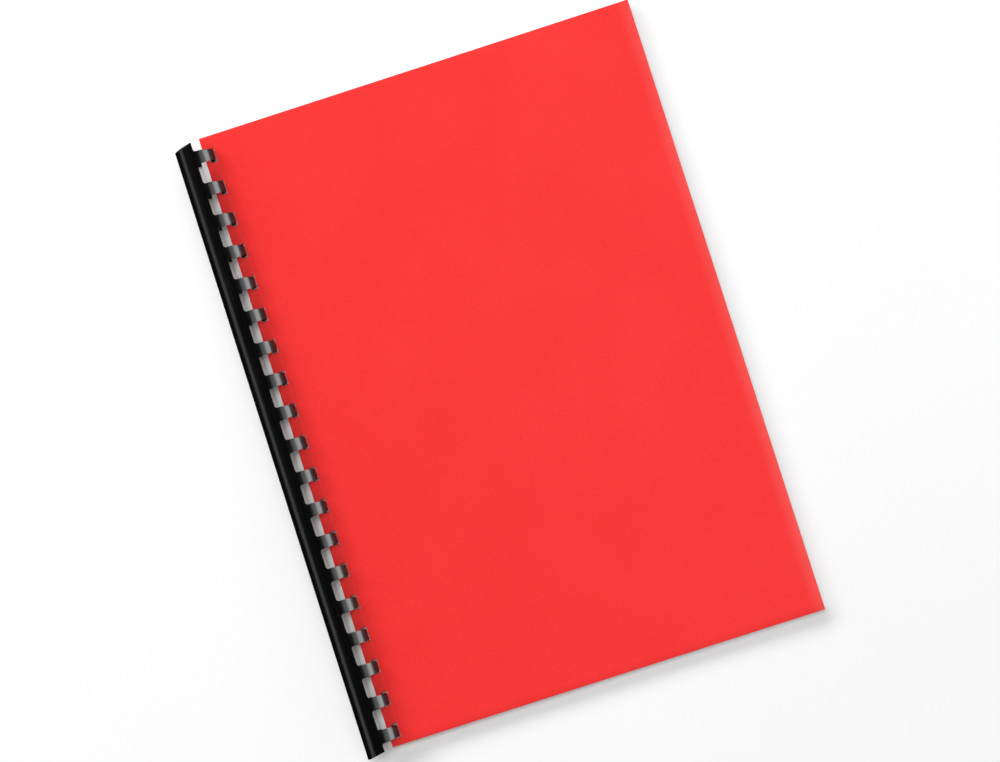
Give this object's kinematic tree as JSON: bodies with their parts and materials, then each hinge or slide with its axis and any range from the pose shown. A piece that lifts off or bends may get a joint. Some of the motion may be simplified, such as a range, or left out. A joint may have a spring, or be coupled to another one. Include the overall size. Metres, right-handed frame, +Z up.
{
  "type": "comb-bound booklet",
  "caption": "A4 booklet with card covers and white sheets held along one edge by a curled plastic comb binding; the leaves turn open about the comb.",
  "frame": {"origin": "on the ground under the middle of the closed booklet's bounding box", "axes": "+Y toward the head of the page, +X from the comb to the fore edge, +Z up from the back cover"},
  "size_m": [0.2222, 0.299, 0.0175],
  "materials": {
    "red_card": "matt card with a faint grain",
    "black_plastic": "satin gloss, thin formed sheet",
    "white_paper": "matt uncoated paper"
  },
  "bodies": {
    "back_cover": {"back_cover": "red_card"},
    "front_cover": {"front_cover": "red_card"},
    "comb": {"comb": "black_plastic"},
    "sheet_01": {"sheet_01": "white_paper"},
    "sheet_02": {"sheet_02": "white_paper"},
    "sheet_03": {"sheet_03": "white_paper"},
    "sheet_04": {"sheet_04": "white_paper"},
    "sheet_05": {"sheet_05": "white_paper"},
    "sheet_06": {"sheet_06": "white_paper"},
    "sheet_07": {"sheet_07": "white_paper"},
    "sheet_08": {"sheet_08": "white_paper"},
    "sheet_09": {"sheet_09": "white_paper"},
    "sheet_10": {"sheet_10": "white_paper"},
    "sheet_11": {"sheet_11": "white_paper"},
    "sheet_12": {"sheet_12": "white_paper"},
    "sheet_13": {"sheet_13": "white_paper"},
    "sheet_14": {"sheet_14": "white_paper"},
    "sheet_15": {"sheet_15": "white_paper"},
    "sheet_16": {"sheet_16": "white_paper"},
    "sheet_17": {"sheet_17": "white_paper"},
    "sheet_18": {"sheet_18": "white_paper"},
    "sheet_19": {"sheet_19": "white_paper"},
    "sheet_20": {"sheet_20": "white_paper"},
    "sheet_21": {"sheet_21": "white_paper"},
    "sheet_22": {"sheet_22": "white_paper"},
    "sheet_23": {"sheet_23": "white_paper"},
    "sheet_24": {"sheet_24": "white_paper"},
    "sheet_25": {"sheet_25": "white_paper"},
    "sheet_26": {"sheet_26": "white_paper"},
    "sheet_27": {"sheet_27": "white_paper"},
    "sheet_28": {"sheet_28": "white_paper"},
    "sheet_29": {"sheet_29": "white_paper"},
    "sheet_30": {"sheet_30": "white_paper"},
    "sheet_31": {"sheet_31": "white_paper"},
    "sheet_32": {"sheet_32": "white_paper"},
    "sheet_33": {"sheet_33": "white_paper"},
    "sheet_34": {"sheet_34": "white_paper"},
    "sheet_35": {"sheet_35": "white_paper"},
    "sheet_36": {"sheet_36": "white_paper"},
    "sheet_37": {"sheet_37": "white_paper"},
    "sheet_38": {"sheet_38": "white_paper"},
    "sheet_39": {"sheet_39": "white_paper"},
    "sheet_40": {"sheet_40": "white_paper"}
  },
  "joints": [
    {"name": "front_cover_turn", "type": "hinge", "parent": "back_cover", "child": "front_cover", "pos_m": [-0.1024, 0, 0.00875], "axis": [0, -1, 0], "range_deg": [0, 183]},
    {"name": "comb_roll", "type": "hinge", "parent": "back_cover", "child": "comb", "pos_m": [-0.1024, 0, 0.00875], "axis": [0, -1, 0], "range_deg": [0, 183]},
    {"name": "sheet_01_turn", "type": "hinge", "parent": "back_cover", "child": "sheet_01", "pos_m": [-0.1024, 0, 0.00875], "axis": [0, -1, 0], "range_deg": [0, 183]},
    {"name": "sheet_02_turn", "type": "hinge", "parent": "back_cover", "child": "sheet_02", "pos_m": [-0.1024, 0, 0.00875], "axis": [0, -1, 0], "range_deg": [0, 183]},
    {"name": "sheet_03_turn", "type": "hinge", "parent": "back_cover", "child": "sheet_03", "pos_m": [-0.1024, 0, 0.00875], "axis": [0, -1, 0], "range_deg": [0, 183]},
    {"name": "sheet_04_turn", "type": "hinge", "parent": "back_cover", "child": "sheet_04", "pos_m": [-0.1024, 0, 0.00875], "axis": [0, -1, 0], "range_deg": [0, 183]},
    {"name": "sheet_05_turn", "type": "hinge", "parent": "back_cover", "child": "sheet_05", "pos_m": [-0.1024, 0, 0.00875], "axis": [0, -1, 0], "range_deg": [0, 183]},
    {"name": "sheet_06_turn", "type": "hinge", "parent": "back_cover", "child": "sheet_06", "pos_m": [-0.1024, 0, 0.00875], "axis": [0, -1, 0], "range_deg": [0, 183]},
    {"name": "sheet_07_turn", "type": "hinge", "parent": "back_cover", "child": "sheet_07", "pos_m": [-0.1024, 0, 0.00875], "axis": [0, -1, 0], "range_deg": [0, 183]},
    {"name": "sheet_08_turn", "type": "hinge", "parent": "back_cover", "child": "sheet_08", "pos_m": [-0.1024, 0, 0.00875], "axis": [0, -1, 0], "range_deg": [0, 183]},
    {"name": "sheet_09_turn", "type": "hinge", "parent": "back_cover", "child": "sheet_09", "pos_m": [-0.1024, 0, 0.00875], "axis": [0, -1, 0], "range_deg": [0, 183]},
    {"name": "sheet_10_turn", "type": "hinge", "parent": "back_cover", "child": "sheet_10", "pos_m": [-0.1024, 0, 0.00875], "axis": [0, -1, 0], "range_deg": [0, 183]},
    {"name": "sheet_11_turn", "type": "hinge", "parent": "back_cover", "child": "sheet_11", "pos_m": [-0.1024, 0, 0.00875], "axis": [0, -1, 0], "range_deg": [0, 183]},
    {"name": "sheet_12_turn", "type": "hinge", "parent": "back_cover", "child": "sheet_12", "pos_m": [-0.1024, 0, 0.00875], "axis": [0, -1, 0], "range_deg": [0, 183]},
    {"name": "sheet_13_turn", "type": "hinge", "parent": "back_cover", "child": "sheet_13", "pos_m": [-0.1024, 0, 0.00875], "axis": [0, -1, 0], "range_deg": [0, 183]},
    {"name": "sheet_14_turn", "type": "hinge", "parent": "back_cover", "child": "sheet_14", "pos_m": [-0.1024, 0, 0.00875], "axis": [0, -1, 0], "range_deg": [0, 183]},
    {"name": "sheet_15_turn", "type": "hinge", "parent": "back_cover", "child": "sheet_15", "pos_m": [-0.1024, 0, 0.00875], "axis": [0, -1, 0], "range_deg": [0, 183]},
    {"name": "sheet_16_turn", "type": "hinge", "parent": "back_cover", "child": "sheet_16", "pos_m": [-0.1024, 0, 0.00875], "axis": [0, -1, 0], "range_deg": [0, 183]},
    {"name": "sheet_17_turn", "type": "hinge", "parent": "back_cover", "child": "sheet_17", "pos_m": [-0.1024, 0, 0.00875], "axis": [0, -1, 0], "range_deg": [0, 183]},
    {"name": "sheet_18_turn", "type": "hinge", "parent": "back_cover", "child": "sheet_18", "pos_m": [-0.1024, 0, 0.00875], "axis": [0, -1, 0], "range_deg": [0, 183]},
    {"name": "sheet_19_turn", "type": "hinge", "parent": "back_cover", "child": "sheet_19", "pos_m": [-0.1024, 0, 0.00875], "axis": [0, -1, 0], "range_deg": [0, 183]},
    {"name": "sheet_20_turn", "type": "hinge", "parent": "back_cover", "child": "sheet_20", "pos_m": [-0.1024, 0, 0.00875], "axis": [0, -1, 0], "range_deg": [0, 183]},
    {"name": "sheet_21_turn", "type": "hinge", "parent": "back_cover", "child": "sheet_21", "pos_m": [-0.1024, 0, 0.00875], "axis": [0, -1, 0], "range_deg": [0, 183]},
    {"name": "sheet_22_turn", "type": "hinge", "parent": "back_cover", "child": "sheet_22", "pos_m": [-0.1024, 0, 0.00875], "axis": [0, -1, 0], "range_deg": [0, 183]},
    {"name": "sheet_23_turn", "type": "hinge", "parent": "back_cover", "child": "sheet_23", "pos_m": [-0.1024, 0, 0.00875], "axis": [0, -1, 0], "range_deg": [0, 183]},
    {"name": "sheet_24_turn", "type": "hinge", "parent": "back_cover", "child": "sheet_24", "pos_m": [-0.1024, 0, 0.00875], "axis": [0, -1, 0], "range_deg": [0, 183]},
    {"name": "sheet_25_turn", "type": "hinge", "parent": "back_cover", "child": "sheet_25", "pos_m": [-0.1024, 0, 0.00875], "axis": [0, -1, 0], "range_deg": [0, 183]},
    {"name": "sheet_26_turn", "type": "hinge", "parent": "back_cover", "child": "sheet_26", "pos_m": [-0.1024, 0, 0.00875], "axis": [0, -1, 0], "range_deg": [0, 183]},
    {"name": "sheet_27_turn", "type": "hinge", "parent": "back_cover", "child": "sheet_27", "pos_m": [-0.1024, 0, 0.00875], "axis": [0, -1, 0], "range_deg": [0, 183]},
    {"name": "sheet_28_turn", "type": "hinge", "parent": "back_cover", "child": "sheet_28", "pos_m": [-0.1024, 0, 0.00875], "axis": [0, -1, 0], "range_deg": [0, 183]},
    {"name": "sheet_29_turn", "type": "hinge", "parent": "back_cover", "child": "sheet_29", "pos_m": [-0.1024, 0, 0.00875], "axis": [0, -1, 0], "range_deg": [0, 183]},
    {"name": "sheet_30_turn", "type": "hinge", "parent": "back_cover", "child": "sheet_30", "pos_m": [-0.1024, 0, 0.00875], "axis": [0, -1, 0], "range_deg": [0, 183]},
    {"name": "sheet_31_turn", "type": "hinge", "parent": "back_cover", "child": "sheet_31", "pos_m": [-0.1024, 0, 0.00875], "axis": [0, -1, 0], "range_deg": [0, 183]},
    {"name": "sheet_32_turn", "type": "hinge", "parent": "back_cover", "child": "sheet_32", "pos_m": [-0.1024, 0, 0.00875], "axis": [0, -1, 0], "range_deg": [0, 183]},
    {"name": "sheet_33_turn", "type": "hinge", "parent": "back_cover", "child": "sheet_33", "pos_m": [-0.1024, 0, 0.00875], "axis": [0, -1, 0], "range_deg": [0, 183]},
    {"name": "sheet_34_turn", "type": "hinge", "parent": "back_cover", "child": "sheet_34", "pos_m": [-0.1024, 0, 0.00875], "axis": [0, -1, 0], "range_deg": [0, 183]},
    {"name": "sheet_35_turn", "type": "hinge", "parent": "back_cover", "child": "sheet_35", "pos_m": [-0.1024, 0, 0.00875], "axis": [0, -1, 0], "range_deg": [0, 183]},
    {"name": "sheet_36_turn", "type": "hinge", "parent": "back_cover", "child": "sheet_36", "pos_m": [-0.1024, 0, 0.00875], "axis": [0, -1, 0], "range_deg": [0, 183]},
    {"name": "sheet_37_turn", "type": "hinge", "parent": "back_cover", "child": "sheet_37", "pos_m": [-0.1024, 0, 0.00875], "axis": [0, -1, 0], "range_deg": [0, 183]},
    {"name": "sheet_38_turn", "type": "hinge", "parent": "back_cover", "child": "sheet_38", "pos_m": [-0.1024, 0, 0.00875], "axis": [0, -1, 0], "range_deg": [0, 183]},
    {"name": "sheet_39_turn", "type": "hinge", "parent": "back_cover", "child": "sheet_39", "pos_m": [-0.1024, 0, 0.00875], "axis": [0, -1, 0], "range_deg": [0, 183]},
    {"name": "sheet_40_turn", "type": "hinge", "parent": "back_cover", "child": "sheet_40", "pos_m": [-0.1024, 0, 0.00875], "axis": [0, -1, 0], "range_deg": [0, 183]}
  ],
  "couplings": [
    {"joint": "comb_roll", "follows": "front_cover_turn", "ratio": 0.47},
    {"joint": "sheet_01_turn", "follows": "front_cover_turn", "ratio": 0.99824},
    {"joint": "sheet_02_turn", "follows": "front_cover_turn", "ratio": 0.99309},
    {"joint": "sheet_03_turn", "follows": "front_cover_turn", "ratio": 0.98472},
    {"joint": "sheet_04_turn", "follows": "front_cover_turn", "ratio": 0.9733},
    {"joint": "sheet_05_turn", "follows": "front_cover_turn", "ratio": 0.95901},
    {"joint": "sheet_06_turn", "follows": "front_cover_turn", "ratio": 0.94202},
    {"joint": "sheet_07_turn", "follows": "front_cover_turn", "ratio": 0.92251},
    {"joint": "sheet_08_turn", "follows": "front_cover_turn", "ratio": 0.90064},
    {"joint": "sheet_09_turn", "follows": "front_cover_turn", "ratio": 0.8766},
    {"joint": "sheet_10_turn", "follows": "front_cover_turn", "ratio": 0.85055},
    {"joint": "sheet_11_turn", "follows": "front_cover_turn", "ratio": 0.82268},
    {"joint": "sheet_12_turn", "follows": "front_cover_turn", "ratio": 0.79315},
    {"joint": "sheet_13_turn", "follows": "front_cover_turn", "ratio": 0.76215},
    {"joint": "sheet_14_turn", "follows": "front_cover_turn", "ratio": 0.72984},
    {"joint": "sheet_15_turn", "follows": "front_cover_turn", "ratio": 0.69639},
    {"joint": "sheet_16_turn", "follows": "front_cover_turn", "ratio": 0.66199},
    {"joint": "sheet_17_turn", "follows": "front_cover_turn", "ratio": 0.6268},
    {"joint": "sheet_18_turn", "follows": "front_cover_turn", "ratio": 0.59101},
    {"joint": "sheet_19_turn", "follows": "front_cover_turn", "ratio": 0.55478},
    {"joint": "sheet_20_turn", "follows": "front_cover_turn", "ratio": 0.51829},
    {"joint": "sheet_21_turn", "follows": "front_cover_turn", "ratio": 0.48171},
    {"joint": "sheet_22_turn", "follows": "front_cover_turn", "ratio": 0.44522},
    {"joint": "sheet_23_turn", "follows": "front_cover_turn", "ratio": 0.40899},
    {"joint": "sheet_24_turn", "follows": "front_cover_turn", "ratio": 0.3732},
    {"joint": "sheet_25_turn", "follows": "front_cover_turn", "ratio": 0.33801},
    {"joint": "sheet_26_turn", "follows": "front_cover_turn", "ratio": 0.30361},
    {"joint": "sheet_27_turn", "follows": "front_cover_turn", "ratio": 0.27016},
    {"joint": "sheet_28_turn", "follows": "front_cover_turn", "ratio": 0.23785},
    {"joint": "sheet_29_turn", "follows": "front_cover_turn", "ratio": 0.20685},
    {"joint": "sheet_30_turn", "follows": "front_cover_turn", "ratio": 0.17732},
    {"joint": "sheet_31_turn", "follows": "front_cover_turn", "ratio": 0.14945},
    {"joint": "sheet_32_turn", "follows": "front_cover_turn", "ratio": 0.1234},
    {"joint": "sheet_33_turn", "follows": "front_cover_turn", "ratio": 0.09936},
    {"joint": "sheet_34_turn", "follows": "front_cover_turn", "ratio": 0.07749},
    {"joint": "sheet_35_turn", "follows": "front_cover_turn", "ratio": 0.05798},
    {"joint": "sheet_36_turn", "follows": "front_cover_turn", "ratio": 0.04099},
    {"joint": "sheet_37_turn", "follows": "front_cover_turn", "ratio": 0.0267},
    {"joint": "sheet_38_turn", "follows": "front_cover_turn", "ratio": 0.01528},
    {"joint": "sheet_39_turn", "follows": "front_cover_turn", "ratio": 0.00691},
    {"joint": "sheet_40_turn", "follows": "front_cover_turn", "ratio": 0.00176}
  ]
}
